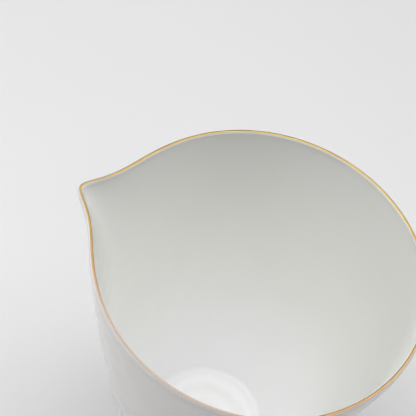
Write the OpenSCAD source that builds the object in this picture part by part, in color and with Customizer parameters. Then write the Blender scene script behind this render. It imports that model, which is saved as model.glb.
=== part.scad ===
// Porcelain cream jug without a handle: a thin turned bowl whose rim is pinched
// out into one short pointed beak, glazed inside, outside and under its base,
// with a gilded lip and a bare ring to stand on.
// Millimetres, +Z up. The origin is on the jug's axis, in the plane that it
// stands on, and the beak points along -X.

/* [Mouth] */
// Radius of the mouth, from the axis to the middle of the lip
mouth_r = 41; // [37:0.5:46]
// Height of the lip above the table
height = 87; // [76:1:110]
// Thickness of the lip, glaze included
lip_t = 1.1; // [0.9:0.1:1.6]

/* [Beak] */
// How far the beak stands out beyond the round of the mouth
beak_reach = 7.6; // [3:0.2:9]
// Angle over which the beak's reach falls to about a third
beak_spread = 7.2; // [6:0.2:14]
// Angle over which the tip of the beak is rounded
beak_tip = 2.7; // [2:0.1:5]
// Depth below the lip over which the beak dies into the wall
beak_depth = 16; // [8:1:24]
// How much the crease of the beak softens with depth, in degrees per millimetre
beak_softening = 0.2; // [0:0.05:0.8]
// How far the beak swells outside, just below its gilded edge
beak_roll = 0.9; // [0:0.1:1.2]

/* [Wall] */
// How far the wall's curve starts outside the middle of the lip
wall_flare = 1; // [0.8:0.1:2]
// How far the wall leans in, a third of the way down its curve
upper_lean = 4.4; // [2:0.2:7]
// How far the wall leans in, two thirds of the way down its curve
lower_lean = 10; // [7:0.5:13]
// Radius of the jug where the wall meets the base
base_r = 23; // [22.4:0.2:26]
// Thickness of the wall below the lip, glaze included
wall_t = 2; // [1.7:0.1:2.8]
// Thickness of each coat of glaze
glaze_t = 0.2; // [0.15:0.05:0.3]

/* [Base] */
// Radius inside at which the floor turns up into the wall
floor_r = 15.6; // [13:0.2:17]
// How far that turn reaches along the floor and up the wall
corner = 1.6; // [1:0.1:2.4]
// Height of the floor inside above the table
floor_z = 5.5; // [5:0.1:7]
// Height below which the inside of the wall turns in towards the floor
heel_z = 38; // [30:1:44]
// Share of the height between there and the floor at which that turn is sharpest
heel_bend = 0.53; // [0.4:0.01:0.65]
// Outer radius of the foot ring
foot_r = 21.4; // [20.6:0.2:22]
// Width of the foot ring
foot_w = 2.8; // [2.2:0.1:3.6]
// Height of the foot ring
foot_h = 2.6; // [2:0.1:3.2]

/* [Gilding] */
// Width of the gold line on the crest of the lip, seen from above
gold_w = 0.62; // [0.4:0.02:0.8]
// Thickness of the gold
gold_t = 0.08; // [0.05:0.01:0.12]

/* [Hidden] */

// Rings of the curved pieces have this many points, crowded towards the beak
turns = 64;
crowding = 43;
// Rings down each side of the wall, crowded towards the lip
rings = 11;
ring_crowding = 1.9;
// The lip is a half round, and the wall takes this depth below it to fill out
lip_r = lip_t / 2;
lip_z = height - lip_r;
lip_fade = 1.2;
thickening_depth = 30;
// The beak's outline down the wall: how full its curve is, and the depth of its roll
beak_fullness = 1.3;
beak_roll_depth = 1.2;
// The outside turns in to the foot ring below this height
turn_in_z = foot_h + 2;
// The foot ring's sides taper, and its lower edges are eased
foot_taper = 0.3;
foot_ease = 0.4;

// Angle of point i from the beak's direction
function turn(i) = let (u = 360 * i / turns, a = u - crowding * sin(u)) a > 180 ? a - 360 : a;
// Share of the beak's reach at an angle from the beak's direction and a height
function beak(a, z) = let (round_off = beak_tip + beak_softening * (height - z))
    exp(-(norm([a, round_off]) - beak_tip) / beak_spread);
// Reach of the beak at a height, inside and, with its swell, outside
function reach(z, swell = 0) = let (full = beak_reach + swell * (1 - exp((z - height) / beak_roll_depth)))
    full * exp(-pow(max(height - z, 0) / beak_depth, beak_fullness));

// Radius of the wall's curve at a height: a cubic between the lip and the base
function curve_r(z) = let (t = (height - z) / (height - turn_in_z), s = 1 - t)
    (mouth_r + wall_flare) * s * s * s
    + 3 * (mouth_r + wall_flare - upper_lean) * s * s * t
    + 3 * (mouth_r + wall_flare - lower_lean) * s * t * t
    + base_r * t * t * t;
lip_taper = curve_r(lip_z) - mouth_r - lip_r;
function outer_r(z) = curve_r(z) - lip_taper * exp((z - lip_z) / lip_fade);
function inner_r(z) = outer_r(z) - wall_t + (wall_t - lip_t) * exp((z - lip_z) / thickening_depth);

// Point on a curve that leaves p and reaches q along lines which cross at c
function bend(p, c, q, t) = p * (1 - t) * (1 - t) + 2 * c * t * (1 - t) + q * t * t;

// Sections are lists of [radius, height, reach of the beak there], and the
// finished one runs from the middle of the floor over the lip to the foot ring
turn_up = [floor_r, floor_z, 0];
turn_start = turn_up - [corner, 0, 0];
// The heel leaves the floor along one line and joins the wall along another
heel_rise = heel_bend * (heel_z - floor_z);
heel_r = inner_r(heel_z);
heel_slope = inner_r(heel_z + 1) - heel_r;
heel_top = [heel_r, heel_z, 0];
heel_cross = [heel_r - heel_slope * (heel_z - floor_z - heel_rise), floor_z + heel_rise, 0];
turn_end = turn_up + corner * (heel_cross - turn_up) / norm(heel_cross - turn_up);
floor_part = [
    [0, floor_z, 0],
    for (t = [0, 0.35, 0.7]) bend(turn_start, turn_up, turn_end, t),
    for (t = [0, 0.15, 0.3, 0.45, 0.6, 0.8]) bend(turn_end, heel_cross, heel_top, t)];
inside_part = [for (k = [rings:-1:0])
    let (z = lip_z - (lip_z - heel_z) * pow(k / rings, ring_crowding))
    [inner_r(z), z, reach(z)]];
gold_angle = acos(gold_w / lip_t);
lip_angles = [25, gold_angle, (gold_angle + 90) / 2];
crest_angles = [for (a = lip_angles) 180 - a, 90, for (k = [2:-1:0]) lip_angles[k]];
lip_part = [for (a = crest_angles)
    let (z = lip_z + lip_r * sin(a), outward = (1 + cos(a)) / 2)
    [mouth_r + lip_r * cos(a), z, reach(z, beak_roll * outward)]];
outside_part = [for (k = [0:rings])
    let (z = lip_z - (lip_z - turn_in_z) * pow(k / rings, ring_crowding))
    [outer_r(z), z, reach(z, beak_roll)]];
turn_in_slope = outer_r(turn_in_z + 1) - base_r;
turn_in_cross = [base_r - turn_in_slope * (turn_in_z - foot_h), foot_h, 0];
turn_in_part = [for (t = [0.4, 0.75, 1])
    bend([base_r, turn_in_z, 0], turn_in_cross, [foot_r, foot_h, 0], t)];
finished = concat(floor_part, inside_part, lip_part, outside_part, turn_in_part);
crest = len(floor_part) + len(inside_part) + 3;
gold_ends = [crest - 2, crest + 2];

// Direction into the clay at point k of the finished section
function into_clay(k) = let (
    a = finished[max(k - 1, 0)],
    b = finished[min(k + 1, len(finished) - 1)],
    d = [b[1] - a[1], a[0] - b[0], 0]) d / norm(d);
function part_of(list, first, last) = [for (k = [first:last]) list[k]];
function sunk(depth) = [for (k = [0:len(finished) - 1]) finished[k] + depth * into_clay(k)];
// Under the glaze the clay ends straight above the foot ring's edge
bisque = [for (p = part_of(sunk(glaze_t), 0, len(finished) - 2)) p, [foot_r, foot_h + glaze_t, 0]];
gilt = sunk(-gold_t);

// Points of a section carried round the jug; one on the axis stays one point
function ring_size(p) = p[0] == 0 ? 1 : turns;
function ring(p) = p[0] == 0 ? [[0, 0, p[1]]] : [for (i = [0:turns - 1])
    let (a = turn(i), r = p[0] + p[2] * beak(a, p[1]))
    [-r * cos(a), -r * sin(a), p[1]]];
function mesh_points(section) = [for (p = section) each ring(p)];
// Index of the first point of ring k
function start(section, k) = k == 0 ? 0 : start(section, k - 1) + ring_size(section[k - 1]);

// Faces between two rings, and between the axis and a ring
function band(a, b) = [for (i = [0:turns - 1]) let (n = (i + 1) % turns)
    each [[a + i, b + n, b + i], [a + i, a + n, b + n]]];
function fan(tip, a) = [for (i = [0:turns - 1]) [tip, a + (i + 1) % turns, a + i]];
function flipped(faces) = [for (f = faces) [f[2], f[1], f[0]]];
function sheet(section) = [for (k = [0:len(section) - 2])
    let (a = start(section, k), b = start(section, k + 1))
    each section[k][0] == 0 ? fan(a, b) : section[k + 1][0] == 0 ? flipped(fan(b, a)) : band(a, b)];
function moved(faces, by) = [for (f = faces) [f[0] + by, f[1] + by, f[2] + by]];

// Solid of a section that starts and ends on the axis
module turned(section) {
    polyhedron(mesh_points(section), sheet(section), convexity = 8);
}

// Coat between the face it shows and the face it lies on
module coat(shown, hidden) {
    last = len(shown) - 1;
    shown_points = mesh_points(shown);
    count = len(shown_points);
    end_edge = band(start(shown, last), count + start(hidden, last));
    start_edge = shown[0][0] == 0 ? [] : band(count, 0);
    polyhedron(
        concat(shown_points, mesh_points(hidden)),
        concat(sheet(shown), flipped(moved(sheet(hidden), count)), end_edge, start_edge),
        convexity = 8);
}

// The fired clay: base, wall and beak in one thin shell
module jug_body() {
    color("linen") turned([each bisque, [foot_r, foot_h, 0], [0, foot_h, 0]]);
}

// The bare ring that the jug stands on
module foot_ring() {
    inner_r = foot_r - foot_w;
    color("antiquewhite") rotate_extrude() polygon([
        [inner_r, foot_h],
        [inner_r + foot_taper, foot_ease],
        [inner_r + foot_taper + foot_ease, 0],
        [foot_r - foot_taper - foot_ease, 0],
        [foot_r - foot_taper, foot_ease],
        [foot_r, foot_h]]);
}

// Glaze over the floor and the inside of the wall, up to the crest of the lip
module inside_glaze() {
    color("honeydew") coat(part_of(finished, 0, crest), part_of(bisque, 0, crest));
}

// Glaze from the crest of the lip down the outside to the foot ring
module outside_glaze() {
    last = len(finished) - 1;
    color("whitesmoke") coat(part_of(finished, crest, last), part_of(bisque, crest, last));
}

// Glaze on the underside, within the foot ring
module underside_glaze() {
    color("mintcream") translate([0, 0, foot_h - glaze_t]) cylinder(r = foot_r - foot_w, h = glaze_t);
}

// The gold line on the crest of the lip, which follows the beak
module gold_rim() {
    color("goldenrod")
        coat(part_of(gilt, gold_ends[0], gold_ends[1]), part_of(finished, gold_ends[0], gold_ends[1]));
}

jug_body();
foot_ring();
inside_glaze();
outside_glaze();
underside_glaze();
gold_rim();
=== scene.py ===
"""Looks of the porcelain cream jug: fine meshes of its pieces, materials, table, light and camera."""
import math

import bpy
import numpy as np
from mathutils import Matrix, Vector


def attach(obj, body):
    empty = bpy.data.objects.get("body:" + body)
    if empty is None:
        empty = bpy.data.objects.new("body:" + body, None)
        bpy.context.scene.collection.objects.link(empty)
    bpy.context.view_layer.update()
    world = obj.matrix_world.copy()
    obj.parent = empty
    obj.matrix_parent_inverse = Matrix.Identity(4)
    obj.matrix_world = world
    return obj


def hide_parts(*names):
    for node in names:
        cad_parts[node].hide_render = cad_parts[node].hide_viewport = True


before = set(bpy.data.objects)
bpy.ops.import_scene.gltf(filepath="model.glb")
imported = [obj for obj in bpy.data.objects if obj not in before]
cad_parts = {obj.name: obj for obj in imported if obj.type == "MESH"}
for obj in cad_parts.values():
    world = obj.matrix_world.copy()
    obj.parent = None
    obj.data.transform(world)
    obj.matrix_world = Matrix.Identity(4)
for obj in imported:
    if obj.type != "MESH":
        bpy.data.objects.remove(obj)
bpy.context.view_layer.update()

MM = 0.001

# The jug's dimensions, as in part.scad: lengths in millimetres and angles in degrees
MOUTH_R = 41
HEIGHT = 87
LIP_T = 1.1
BEAK_REACH = 7.6
BEAK_SPREAD = 7.2
BEAK_TIP = 2.7
BEAK_DEPTH = 16
BEAK_FULLNESS = 1.3
BEAK_SOFTENING = 0.2
BEAK_ROLL = 0.9
BEAK_ROLL_DEPTH = 1.2
WALL_FLARE = 1
UPPER_LEAN = 4.4
LOWER_LEAN = 10
BASE_R = 23
WALL_T = 2
GLAZE_T = 0.2
FLOOR_R = 15.6
FLOOR_Z = 5.5
HEEL_Z = 38
HEEL_BEND = 0.53
CORNER = 1.6
FOOT_R = 21.4
FOOT_W = 2.8
FOOT_H = 2.6
GOLD_W = 0.62
GOLD_T = 0.08
LIP_R = LIP_T / 2
LIP_Z = HEIGHT - LIP_R
LIP_FADE = 1.2
THICKENING_DEPTH = 30
TURN_IN_Z = FOOT_H + 2
FOOT_TAPER = 0.3
FOOT_EASE = 0.4

# Points round the jug, crowded towards the beak
TURNS = 320
CROWDING = math.degrees(0.7)
# Steps along the section: the floor, its corner, the heel, each side of the wall, the lip, the foot's turn
FLOOR_STEPS = 29
CORNER_STEPS = 12
HEEL_STEPS = 24
WALL_STEPS = 90
WALL_CROWDING = 1.9
LIP_STEPS = 24
TURN_IN_STEPS = 8
# The CAD's flat facets cut the corners off its circles; this factor keeps the finer mesh inside them
SNUG = 0.9991

# Hand-made detail, in millimetres: turning marks and unevenness of the wall, kept clear of the lip
TURNING_PITCH = 7
TURNING_MARK = 0.006
UNEVENNESS = 0.04
LIP_CLEAR = 6
LIP_CLEAR_FADE = 22
# The floor's two wavy grooves: depth, then radius and width of each, and how far the inner one is off centre
FLOOR_GROOVE = 0.26
OUTER_GROOVE_R = 10.9
OUTER_GROOVE_W = 1.3
INNER_GROOVE_R = 5.4
INNER_GROOVE_W = 1.6
INNER_GROOVE_SHIFT = 1.3
# The foot ring's eased edges, in millimetres, and the share of the underside's glaze that the dish takes
FOOT_EDGE = 0.15
EDGE_STEPS = 5
UNDERSIDE_DISH = 0.45
DISH_FLATNESS = 6
DISH_STEPS = 39
DISH_CROWDING = 0.7
# A row of points nearer to the axis than this, in metres, is one point on it
ON_AXIS = 1e-7

# Paler rings on the floor, painted highlight for its grooves' glints and shading and partly glaze run thin,
# and the height at which the floor's tint, darker than the wall's as painted shade, has given way to the
# wall's
FIRST_RING = 5.5
RING_PITCH = 7
RING_WAVINESS = 1.8
RING_CONTRAST = 0.02
TINT_TOP = 44

# Colours, linear
INSIDE_WALL = (0.924, 0.93, 0.897)
# The floor's glaze is bluer than the wall's and a little darker; the darkness is painted shade, taking off
# light that the lamps above throw on the floor
INSIDE_FLOOR = (0.912, 0.909, 0.926)
# The outside's glaze is the inside's, set darker: painted shade on the outer wall and the underside
OUTSIDE_WHITE = (0.864, 0.856, 0.828)
GLAZE_SPECK = (0.45, 0.42, 0.36)
BISQUE = (0.86, 0.84, 0.79)
BISQUE_DARK = (0.8, 0.77, 0.71)
FOOT_CLAY = (0.8, 0.76, 0.69)
FOOT_DIRT = (0.62, 0.57, 0.5)
GOLD_BRIGHT = (0.865, 0.62, 0.188)
# The coppery gold in front and the pale gold by the beak are painted shade on the gold's reflections; the
# coppery colour also tints its streaks
GOLD_COPPERY = (0.74, 0.45, 0.21)
GOLD_PALE = (0.66, 0.52, 0.43)
TABLE_COLOUR = (0.858, 0.857, 0.868)

# Glaze: how large its blotches are, in millimetres, how strongly they show, and how it shines
MOTTLE_SIZE = 14
MOTTLE_STRENGTH = 0.35
POOLED_TINT = (0.985, 0.985, 0.975)
SPECK_SIZE = 0.7
SPECK_STRENGTH = 0.12
DULL_PATCH_SIZE = 9
GLAZE_ROUGHNESS = (0.12, 0.2)
GLAZE_IOR = 1.5
RIPPLE_SIZE = 2.5
RIPPLE_DEPTH = 0.003

# Bare clay, with roughness from fresh to worn
WEAR_SIZE = 6
CLAY_ROUGHNESS = (0.75, 0.55)
GRIT_SIZE = 0.5
GRIT_STRENGTH = 0.5
GRIT_SHADE = 0.6
BISQUE_GRAIN_SIZE = 0.6
FOOT_GRAIN_SIZE = 0.4
CLAY_GRAIN_DEPTH = 0.03

# Gold: where it turns darker and coppery in front and where it turns paler and less metallic by the beak,
# both painted shade on its reflections, are azimuths and half widths, in degrees
STREAK_SIZE = 5
STREAK_STRENGTH = 0.6
BRUSH_SIZE = 2.2
GOLD_ROUGHNESS = (0.36, 0.5)
GOLD_GRAIN_SIZE = 0.35
GOLD_GRAIN_DEPTH = 0.004
COPPERY_SIDE = 270
COPPERY_SPREAD = (100, 60)
PALE_SIDE = 257
PALE_SPREAD = (55, 12)
PALE_METAL = 0.2

# The table's paper
FIBRE_SIZE = 1.5
FIBRE_SHADE = 0.992
TABLE_ROUGHNESS = 0.65

# The set, in metres, and the view, in degrees, mouth radii and the lens's millimetres
TABLE_HALF = 4
LIGHTS_MEET = 0.05
VIEW_AZIMUTH = 8.5
VIEW_ELEVATION = 54.2
VIEW_ROLL = 16.8
VIEW_CENTRE = (-0.450, 0.2275)
VIEW_DISTANCE = 8.88
SENSOR_WIDTH = 36
LENS = 128.1


def turn_angles():
    """Angles round the jug, in degrees from the beak"""
    even = np.arange(TURNS) * 360 / TURNS
    crowded = even - CROWDING * np.sin(np.radians(even))
    return np.where(crowded > 180, crowded - 360, crowded)


def beak(angle, z):
    """Share of the beak's reach at an angle from it: 1 at its tip, softer lower down"""
    round_off = BEAK_TIP + BEAK_SOFTENING * (HEIGHT - z)
    return np.exp(-(np.hypot(angle, round_off) - BEAK_TIP) / BEAK_SPREAD)


def reach(z, swell=0):
    """How far the beak stands out at a height; swell is the outward roll of its lip"""
    depth = HEIGHT - z
    full = BEAK_REACH + swell * (1 - np.exp(-depth / BEAK_ROLL_DEPTH))
    return full * np.exp(-((np.maximum(depth, 0) / BEAK_DEPTH) ** BEAK_FULLNESS))


def curve_r(z):
    """Radius of the wall's curve, a Bezier cubic from the top of the lip to where the base turns in"""
    t = (HEIGHT - z) / (HEIGHT - TURN_IN_Z)
    s = 1 - t
    top = MOUTH_R + WALL_FLARE
    upper = 3 * (top - UPPER_LEAN) * s * s * t
    lower = 3 * (top - LOWER_LEAN) * s * t * t
    return top * s**3 + upper + lower + BASE_R * t**3


LIP_TAPER = curve_r(LIP_Z) - MOUTH_R - LIP_R


def outer_r(z):
    return curve_r(z) - LIP_TAPER * np.exp((z - LIP_Z) / LIP_FADE)


def inner_r(z):
    return outer_r(z) - WALL_T + (WALL_T - LIP_T) * np.exp((z - LIP_Z) / THICKENING_DEPTH)


def bend(start, control, end, t):
    """Point at share t of a curve that leaves start and reaches end along lines through control"""
    start, control, end = map(np.array, (start, control, end))
    return start * (1 - t) ** 2 + 2 * control * t * (1 - t) + end * t * t


def floor_and_heel():
    """From mid-floor, round its corner and up the heel to where the wall's own curve begins"""
    corner = np.array([FLOOR_R, FLOOR_Z, 0])
    floor_edge = corner - [CORNER, 0, 0]
    heel_r = inner_r(HEEL_Z)
    slope = inner_r(HEEL_Z + 1) - heel_r
    rise = HEEL_BEND * (HEEL_Z - FLOOR_Z)
    cross = np.array([heel_r - slope * (HEEL_Z - FLOOR_Z - rise), FLOOR_Z + rise, 0])
    corner_top = corner + CORNER * (cross - corner) / np.linalg.norm(cross - corner)
    heel_top = [heel_r, HEEL_Z, 0]
    rows = [[r, FLOOR_Z, 0] for r in np.linspace(0, floor_edge[0], FLOOR_STEPS + 1)[:-1]]
    rows += [bend(floor_edge, corner, corner_top, t) for t in np.linspace(0, 1, CORNER_STEPS + 1)[:-1]]
    rows += [bend(corner_top, cross, heel_top, t) for t in np.linspace(0, 1, HEEL_STEPS + 1)[:-1]]
    return rows


def wall_heights(bottom):
    """Heights from the lip down to bottom, crowded towards the lip"""
    shares = [(k / WALL_STEPS) ** WALL_CROWDING for k in range(WALL_STEPS + 1)]
    return [LIP_Z - (LIP_Z - bottom) * share for share in shares]


def inner_wall():
    return [[inner_r(z), z, reach(z)] for z in reversed(wall_heights(HEEL_Z))]


def lip():
    rows = []
    for angle in np.radians(np.linspace(180, 0, LIP_STEPS + 1)[1:-1]):
        z = LIP_Z + LIP_R * math.sin(angle)
        swell = BEAK_ROLL * (1 + math.cos(angle)) / 2
        rows.append([MOUTH_R + LIP_R * math.cos(angle), z, reach(z, swell)])
    return rows


def outer_wall():
    return [[outer_r(z), z, reach(z, BEAK_ROLL)] for z in wall_heights(TURN_IN_Z)]


def turn_in():
    """From the end of the wall, round under it to the top of the foot ring"""
    slope = outer_r(TURN_IN_Z + 1) - BASE_R
    wall_end = [BASE_R, TURN_IN_Z, 0]
    cross = [BASE_R - slope * (TURN_IN_Z - FOOT_H), FOOT_H, 0]
    foot_top = [FOOT_R, FOOT_H, 0]
    return [bend(wall_end, cross, foot_top, t) for t in np.linspace(0, 1, TURN_IN_STEPS + 1)[1:]]


def finished_section():
    """Rows of [radius, height, reach of the beak], from mid-floor over the lip to the foot ring"""
    inside = floor_and_heel() + inner_wall()
    crest = len(inside) + LIP_STEPS // 2 - 1
    rows = inside + lip() + outer_wall() + turn_in()
    return np.array(rows, float), crest


FINISHED, CREST = finished_section()


def sunk(depth):
    """The finished section moved into the wall by a depth, or out of it by a negative one"""
    step = np.gradient(FINISHED[:, :2], axis=0)
    step /= np.linalg.norm(step, axis=1)[:, None]
    moved = FINISHED.copy()
    moved[:, 0] += depth * step[:, 1]
    moved[:, 1] -= depth * step[:, 0]
    moved[0, 0] = 0
    return moved


CLAY = sunk(GLAZE_T)
CLAY[-1] = [FOOT_R, FOOT_H + GLAZE_T, 0]
GILT = sunk(-GOLD_T)
ANGLES = turn_angles()


def swept(section, relief=None):
    """Grid of points in metres: one row for each point of the section, one column for each angle"""
    r = section[:, 0:1] + section[:, 2:3] * beak(ANGLES[None, :], section[:, 1:2])
    z = np.repeat(section[:, 1:2], TURNS, 1)
    turn = np.radians(180 + ANGLES)[None, :] + 0 * r
    if relief is not None:
        r, z = relief(r, z, turn)
    return np.stack([SNUG * r * np.cos(turn), SNUG * r * np.sin(turn), z], -1) * MM


def smooth_step(x, low, high):
    t = np.clip((x - low) / (high - low), 0, 1)
    return t * t * (3 - 2 * t)


def clear_of_lip(z):
    """1 on most of the wall and 0 near the lip"""
    return smooth_step(z, HEIGHT - LIP_CLEAR, HEIGHT - LIP_CLEAR_FADE)


def inside_relief(r, z, turn):
    """
    What turning leaves inside: soft rings up the wall and two wavy grooves in the floor's glaze.
    A factor of turn counts lobes round the jug, and z is divided by millimetres for each radian.
    """
    wall = smooth_step(z, FLOOR_Z + 3, FLOOR_Z + 12) * clear_of_lip(z)
    rings = np.sin(2 * np.pi * (z + 0.8 * np.sin(2 * turn)) / TURNING_PITCH)
    uneven = np.sin(3 * turn + z / 19) + np.sin(2 * turn - z / 13 + 1)
    r = r - wall * (TURNING_MARK * rings + UNEVENNESS * uneven)
    on_floor = smooth_step(r, FLOOR_R, FLOOR_R - 3) * (z < FLOOR_Z + 2)
    from_outer = r - OUTER_GROOVE_R - 0.4 * np.sin(3 * turn + 0.6) - 0.2 * np.sin(7 * turn)
    from_inner = r - INNER_GROOVE_R - INNER_GROOVE_SHIFT * np.cos(turn - 2.6)
    outer_groove = np.exp(-((from_outer / OUTER_GROOVE_W) ** 2))
    inner_groove = np.exp(-((from_inner / INNER_GROOVE_W) ** 2))
    return r, z + on_floor * FLOOR_GROOVE * np.maximum(1 - (outer_groove + inner_groove), 0)


def outside_relief(r, z, turn):
    """Outside the wall is trued, so it only wanders, always inwards"""
    wall = smooth_step(z, TURN_IN_Z, TURN_IN_Z + 8) * clear_of_lip(z)
    uneven = np.sin(3 * turn + z / 17 + 0.5) + np.sin(2 * turn - z / 11) - 2
    return r + wall * UNEVENNESS * uneven, z


def mesh_piece(name, rows, closed=True):
    """A solid from rows of points round the axis; closed joins the last row to the first"""
    verts = []
    index = []
    for row in rows:
        if np.hypot(row[:, 0], row[:, 1]).max() < ON_AXIS:
            index.append([len(verts)] * TURNS)
            verts.append((0, 0, row[0, 2]))
        else:
            index.append(list(range(len(verts), len(verts) + TURNS)))
            verts.extend(map(tuple, row))
    faces = []
    following = index[1:] + (index[:1] if closed else [])
    for here, there in zip(index, following):
        for i in range(TURNS):
            n = (i + 1) % TURNS
            loop = [here[i], there[i], there[n], here[n]]
            face = [v for k, v in enumerate(loop) if v != loop[k - 1]]
            if len(face) > 2:
                faces.append(face)
    mesh = bpy.data.meshes.new(name)
    mesh.from_pydata(verts, [], faces)
    mesh.update()
    for polygon in mesh.polygons:
        polygon.use_smooth = True
    piece = bpy.data.objects.new(name, mesh)
    bpy.context.scene.collection.objects.link(piece)
    return piece


def thinned(section, step=4):
    """A section for a face that nothing shows, with fewer points"""
    return np.concatenate([section[:-1:step], section[-1:]])


def coat(name, shown, hidden, relief=None):
    """A skin between the section that shows and the one beneath it"""
    on_axis = shown[0, 0] == 0
    rows = np.concatenate([swept(shown, relief), swept(thinned(hidden))[::-1]])
    return mesh_piece(name, rows, closed=not on_axis)


def inside_glaze():
    return coat("glaze_inside", FINISHED[: CREST + 1], CLAY[: CREST + 1], inside_relief)


def outside_glaze():
    return coat("glaze_outside", FINISHED[CREST:], CLAY[CREST:], outside_relief)


def clay_body():
    base = [[FOOT_R, FOOT_H, 0], [0, FOOT_H, 0]]
    section = np.concatenate([thinned(CLAY[: CREST + 1]), thinned(CLAY[CREST:])[1:], base])
    return mesh_piece("clay_body", swept(section), closed=False)


def gold_line():
    """The gilding, a thin skin on the crest of the lip"""
    gilded = [k for k in range(len(FINISHED)) if FINISHED[k, 1] > LIP_Z]
    gilded = [k for k in gilded if abs(FINISHED[k, 0] - MOUTH_R) < GOLD_W / 2 + 0.02]
    first, last = gilded[0], gilded[-1] + 1
    return coat("gold_line", GILT[first:last], FINISHED[first:last])


def eased(corners, ease):
    """A closed outline whose corners are rounded off by short arcs"""
    points = []
    for before, corner, after in zip(corners[-1:] + corners[:-1], corners, corners[1:] + corners[:1]):
        before, corner, after = map(np.array, (before, corner, after))
        start = corner + ease * (before - corner) / np.linalg.norm(before - corner)
        end = corner + ease * (after - corner) / np.linalg.norm(after - corner)
        points += [bend(start, corner, end, t) for t in np.linspace(0, 1, EDGE_STEPS + 1)]
    return np.array([[r, z, 0] for r, z in points])


def bare_foot():
    inner = FOOT_R - FOOT_W
    low_inner, low_outer = inner + FOOT_TAPER, FOOT_R - FOOT_TAPER
    corners = [(inner, FOOT_H), (low_inner, FOOT_EASE / 2), (low_inner + FOOT_EASE, 0)]
    corners += [(low_outer - FOOT_EASE, 0), (low_outer, FOOT_EASE / 2), (FOOT_R, FOOT_H)]
    return mesh_piece("bare_foot", swept(eased(corners, FOOT_EDGE))[::-1])


def underside_glaze():
    """Glaze that runs up to the foot ring and is slightly dished towards the middle"""
    rim = FOOT_R - FOOT_W
    radii = rim * np.linspace(0, 1, DISH_STEPS + 1) ** DISH_CROWDING
    shares = [1 - UNDERSIDE_DISH + UNDERSIDE_DISH * (r / rim) ** DISH_FLATNESS for r in radii]
    shown = np.array([[r, FOOT_H - GLAZE_T * share, 0] for r, share in zip(radii, shares)])
    section = np.concatenate([[[0, FOOT_H, 0], [rim, FOOT_H, 0]], shown[::-1]])
    return mesh_piece("glaze_underside", swept(section), closed=False)


# Materials: each pattern is placed by the object's own coordinates, so its scale is real
def new_material(name):
    material = bpy.data.materials.new(name)
    material.use_nodes = True
    tree = material.node_tree
    return material, tree, tree.nodes["Principled BSDF"]


def pattern(tree, size, detail, seed=0):
    """Soft noise from 0 to 1 whose blotches measure about size millimetres; seed moves it elsewhere"""
    where = tree.nodes.new("ShaderNodeTexCoord")
    moved = tree.nodes.new("ShaderNodeMapping")
    moved.inputs["Location"].default_value = (seed, seed, seed)
    noise = tree.nodes.new("ShaderNodeTexNoise")
    noise.inputs["Scale"].default_value = 1 / (size * MM)
    noise.inputs["Detail"].default_value = detail
    tree.links.new(where.outputs["Object"], moved.inputs["Vector"])
    tree.links.new(moved.outputs["Vector"], noise.inputs["Vector"])
    return noise.outputs["Fac"]


def ranged(tree, value, source, target):
    """A value turned smoothly from one range into another and kept within it"""
    node = tree.nodes.new("ShaderNodeMapRange")
    node.interpolation_type = "SMOOTHSTEP"
    for socket, number in zip(("From Min", "From Max", "To Min", "To Max"), (*source, *target)):
        node.inputs[socket].default_value = number
    tree.links.new(value, node.inputs["Value"])
    return node.outputs["Result"]


def height_share(tree, low, high):
    """0 below one height and 1 above another, both in millimetres"""
    where = tree.nodes.new("ShaderNodeTexCoord")
    split = tree.nodes.new("ShaderNodeSeparateXYZ")
    tree.links.new(where.outputs["Object"], split.inputs["Vector"])
    return ranged(tree, split.outputs["Z"], (low * MM, high * MM), (0, 1))


def facing(tree, azimuth, spread):
    """1 within the second angle of spread from an azimuth round the jug, and 0 beyond the first"""
    where = tree.nodes.new("ShaderNodeTexCoord")
    across = tree.nodes.new("ShaderNodeVectorMath")
    across.operation = "DOT_PRODUCT"
    across.inputs[1].default_value = direction(azimuth, 0) / (MOUTH_R * MM)
    tree.links.new(where.outputs["Object"], across.inputs[0])
    cosines = tuple(math.cos(math.radians(angle)) for angle in spread)
    return ranged(tree, across.outputs["Value"], cosines, (0, 1))


def scaled(colour, factor):
    return tuple(factor * c for c in colour)


def blended(tree, share, a, b):
    """Colour a where share is 0 and b where it is 1; each is a colour or another node's output"""
    node = tree.nodes.new("ShaderNodeMix")
    node.data_type = "RGBA"
    tree.links.new(share, node.inputs["Factor"])
    for socket, colour in ((node.inputs["A"], a), (node.inputs["B"], b)):
        if isinstance(colour, tuple):
            socket.default_value = (*colour, 1)
        else:
            tree.links.new(colour, socket)
    return node.outputs["Result"]


def bumped(tree, shader, height, depth):
    """Fine relief on a surface, in millimetres, which changes its shading and not its shape"""
    node = tree.nodes.new("ShaderNodeBump")
    node.inputs["Distance"].default_value = depth * MM
    tree.links.new(height, node.inputs["Height"])
    tree.links.new(node.outputs["Normal"], shader.inputs["Normal"])


def floor_rings(tree, colour):
    """A colour that is a little lighter on wavy rings round the floor: painted highlight for the glints and
    shading of its grooves, and partly where the glaze has run thin
    """
    where = tree.nodes.new("ShaderNodeTexCoord")
    rings = tree.nodes.new("ShaderNodeTexWave")
    rings.wave_type = "RINGS"
    rings.rings_direction = "Z"
    # At scale 1 this wave's phase grows by 20 radians in each metre from the axis
    rings.inputs["Scale"].default_value = math.pi / (10 * RING_PITCH * MM)
    rings.inputs["Phase Offset"].default_value = math.pi * (1 - 2 * FIRST_RING / RING_PITCH)
    rings.inputs["Distortion"].default_value = RING_WAVINESS
    tree.links.new(where.outputs["Object"], rings.inputs["Vector"])
    # Painted highlight: lighter rings where the floor's grooves would catch glints, darker between them
    between_rings = scaled(colour, 1 - RING_CONTRAST)
    pale_tone = scaled(colour, 1 + RING_CONTRAST)
    ringed = blended(tree, rings.outputs["Fac"], between_rings, pale_tone)
    return blended(tree, height_share(tree, FLOOR_Z + 0.6, FLOOR_Z + 2), ringed, colour)


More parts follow.
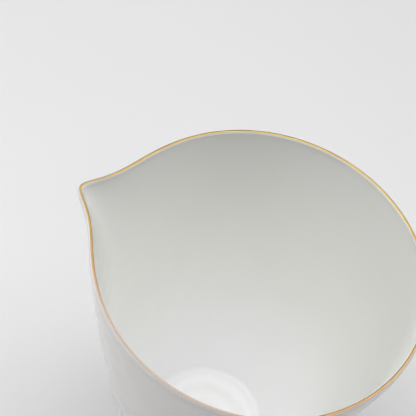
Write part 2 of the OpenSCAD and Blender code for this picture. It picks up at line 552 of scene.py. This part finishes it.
def glaze(name, upper, lower, ringed=False):
    """Porcelain glaze: tinted by its height, which paints a little shade on the inside floor, faintly
    mottled, with a few specks and a slight ripple
    """
    material, tree, shader = new_material(name)
    colour = floor_rings(tree, lower) if ringed else lower
    # Painted shade: below TINT_TOP the colour turns to the floor's, which is darker
    colour = blended(tree, height_share(tree, FLOOR_Z + 2, TINT_TOP), colour, upper)
    pooled = tuple(tint * c for tint, c in zip(POOLED_TINT, upper))
    mottle = ranged(tree, pattern(tree, MOTTLE_SIZE, 3, seed=2), (0.45, 0.7), (0, MOTTLE_STRENGTH))
    colour = blended(tree, mottle, colour, pooled)
    specks = ranged(tree, pattern(tree, SPECK_SIZE, 0, seed=5), (0.88, 0.92), (0, SPECK_STRENGTH))
    colour = blended(tree, specks, colour, GLAZE_SPECK)
    tree.links.new(colour, shader.inputs["Base Color"])
    dulling = ranged(tree, pattern(tree, DULL_PATCH_SIZE, 4, seed=8), (0.3, 0.7), GLAZE_ROUGHNESS)
    tree.links.new(dulling, shader.inputs["Roughness"])
    bumped(tree, shader, pattern(tree, RIPPLE_SIZE, 1, seed=3), RIPPLE_DEPTH)
    shader.inputs["IOR"].default_value = GLAZE_IOR
    return material


def biscuit(name, colour, darker, grain_size):
    """Unglazed porcelain: matt and finely grained, darker where it is worn or has taken up dirt"""
    material, tree, shader = new_material(name)
    worn = ranged(tree, pattern(tree, WEAR_SIZE, 5, seed=4), (0.45, 0.75), (0, 1))
    grit = ranged(tree, pattern(tree, GRIT_SIZE, 1, seed=6), (0.7, 0.8), (0, GRIT_STRENGTH))
    shade = blended(tree, worn, colour, darker)
    colour = blended(tree, grit, shade, scaled(darker, GRIT_SHADE))
    tree.links.new(colour, shader.inputs["Base Color"])
    tree.links.new(ranged(tree, worn, (0, 1), CLAY_ROUGHNESS), shader.inputs["Roughness"])
    bumped(tree, shader, pattern(tree, grain_size, 4), CLAY_GRAIN_DEPTH)
    return material


def gilding(name):
    """Brushed gold: bright at the back, darker and coppery in front, and paler and less metallic on one side
    of the beak; the front's copper and the beak's pale patch are painted shade on its reflections
    """
    material, tree, shader = new_material(name)
    # Painted shade: the gold turns darker and coppery in front, where its reflections of the lamps would be
    # too bright
    colour = blended(tree, facing(tree, COPPERY_SIDE, COPPERY_SPREAD), GOLD_BRIGHT, GOLD_COPPERY)
    streaks = ranged(tree, pattern(tree, STREAK_SIZE, 3, seed=7), (0.4, 0.65), (0, STREAK_STRENGTH))
    colour = blended(tree, streaks, colour, GOLD_COPPERY)
    # Painted shade: on one side of the beak the gold turns paler and less metallic, which dulls its
    # reflections
    pale_tone = facing(tree, PALE_SIDE, PALE_SPREAD)
    colour = blended(tree, pale_tone, colour, GOLD_PALE)
    tree.links.new(colour, shader.inputs["Base Color"])
    tree.links.new(ranged(tree, pale_tone, (0, 1), (1, PALE_METAL)), shader.inputs["Metallic"])
    brushed = ranged(tree, pattern(tree, BRUSH_SIZE, 4, seed=9), (0.3, 0.7), GOLD_ROUGHNESS)
    tree.links.new(brushed, shader.inputs["Roughness"])
    bumped(tree, shader, pattern(tree, GOLD_GRAIN_SIZE, 3, seed=2), GOLD_GRAIN_DEPTH)
    return material


def paper(name):
    """The table's pale, faintly fibrous sheet"""
    material, tree, shader = new_material(name)
    fibre = ranged(tree, pattern(tree, FIBRE_SIZE, 5), (0.3, 0.7), (0, 1))
    colour = blended(tree, fibre, TABLE_COLOUR, scaled(TABLE_COLOUR, FIBRE_SHADE))
    tree.links.new(colour, shader.inputs["Base Color"])
    shader.inputs["Roughness"].default_value = TABLE_ROUGHNESS
    return material


def dress(piece, node, material):
    """Give a piece its material and let it stand for the CAD node"""
    piece.data.materials.append(material)
    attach(piece, "root")
    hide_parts(node)


def table():
    """A sheet that the foot rests on and that runs far past the camera's view"""
    half = TABLE_HALF
    mesh = bpy.data.meshes.new("table")
    corners = [(-half, -half, 0), (half, -half, 0), (half, half, 0), (-half, half, 0)]
    mesh.from_pydata(corners, [], [(0, 1, 2, 3)])
    sheet = bpy.data.objects.new("table", mesh)
    sheet.data.materials.append(paper("table"))
    bpy.context.scene.collection.objects.link(sheet)


def direction(azimuth, elevation):
    """Unit vector at an azimuth, which runs from the jug's right by way of its back, and an elevation"""
    azimuth, elevation = math.radians(azimuth), math.radians(elevation)
    level = math.cos(elevation)
    return Vector((math.cos(azimuth) * level, math.sin(azimuth) * level, math.sin(elevation)))


def softbox(name, azimuth, elevation, watts, size=2.0, distance=2.4, mirrored=True):
    """A round soft light that faces the jug; one that isn't mirrored shows in no reflection"""
    light = bpy.data.lights.new(name, "AREA")
    light.shape = "DISK"
    light.size = size
    light.energy = watts
    lamp = bpy.data.objects.new(name, light)
    out = direction(azimuth, elevation)
    lamp.location = Vector((0, 0, LIGHTS_MEET)) + distance * out
    lamp.rotation_euler = (-out).to_track_quat("-Z", "Y").to_euler()
    lamp.visible_glossy = mirrored
    bpy.context.scene.collection.objects.link(lamp)


def lighting():
    """A dark room lit by soft lights, two of them small and near the jug"""
    room = bpy.data.worlds.new("room")
    room.use_nodes = True
    room.node_tree.nodes["Background"].inputs["Strength"].default_value = 0
    bpy.context.scene.world = room
    softbox("back_right", 45, 55, 18.3)
    softbox("top", 180, 74, 18.2)
    softbox("front_top", 300, 74, 9)
    softbox("front_right", 315, 55, 5.6)
    softbox("right_low", 30, 30, 2.4, size=1.2)
    softbox("back_low", 125, 8, 22.8, size=0.8, mirrored=False)
    softbox("left_low", 180, 8, 5.4, size=0.8)
    softbox("left_card", 190, 60, 0.37, size=0.3, distance=0.5)
    softbox("near_card", 205, 25, 0.17, size=0.25, distance=0.4)


def camera():
    """The view down into the mouth, tilted as a hand-held shot is"""
    mouth = MOUTH_R * MM
    aim = Vector((VIEW_CENTRE[0] * mouth, VIEW_CENTRE[1] * mouth, HEIGHT * MM))
    out = direction(VIEW_AZIMUTH - 90, VIEW_ELEVATION)
    level = direction(VIEW_AZIMUTH, 0)
    roll = math.radians(VIEW_ROLL)
    right = level * math.cos(roll) + out.cross(level) * math.sin(roll)
    lens = bpy.data.cameras.new("camera")
    lens.sensor_width = SENSOR_WIDTH
    lens.lens = LENS
    lens.clip_start = 0.01
    eye = bpy.data.objects.new("camera", lens)
    turned = Matrix((right, out.cross(right), out)).transposed().to_4x4()
    eye.matrix_world = Matrix.Translation(aim + VIEW_DISTANCE * mouth * out) @ turned
    bpy.context.scene.collection.objects.link(eye)
    bpy.context.scene.camera = eye


inside = glaze("inside_glaze", INSIDE_WALL, INSIDE_FLOOR, ringed=True)
outside = glaze("outside_glaze", OUTSIDE_WHITE, OUTSIDE_WHITE)
underside = glaze("underside_glaze", OUTSIDE_WHITE, OUTSIDE_WHITE)
bisque = biscuit("bisque", BISQUE, BISQUE_DARK, BISQUE_GRAIN_SIZE)
foot_clay = biscuit("bare_foot", FOOT_CLAY, FOOT_DIRT, FOOT_GRAIN_SIZE)
dress(inside_glaze(), "inside_glaze", inside)
dress(outside_glaze(), "outside_glaze", outside)
dress(underside_glaze(), "underside_glaze", underside)
dress(clay_body(), "jug_body", bisque)
dress(bare_foot(), "foot_ring", foot_clay)
dress(gold_line(), "gold_rim", gilding("gold"))
table()
lighting()
camera()
bpy.context.scene.view_settings.view_transform = "Standard"
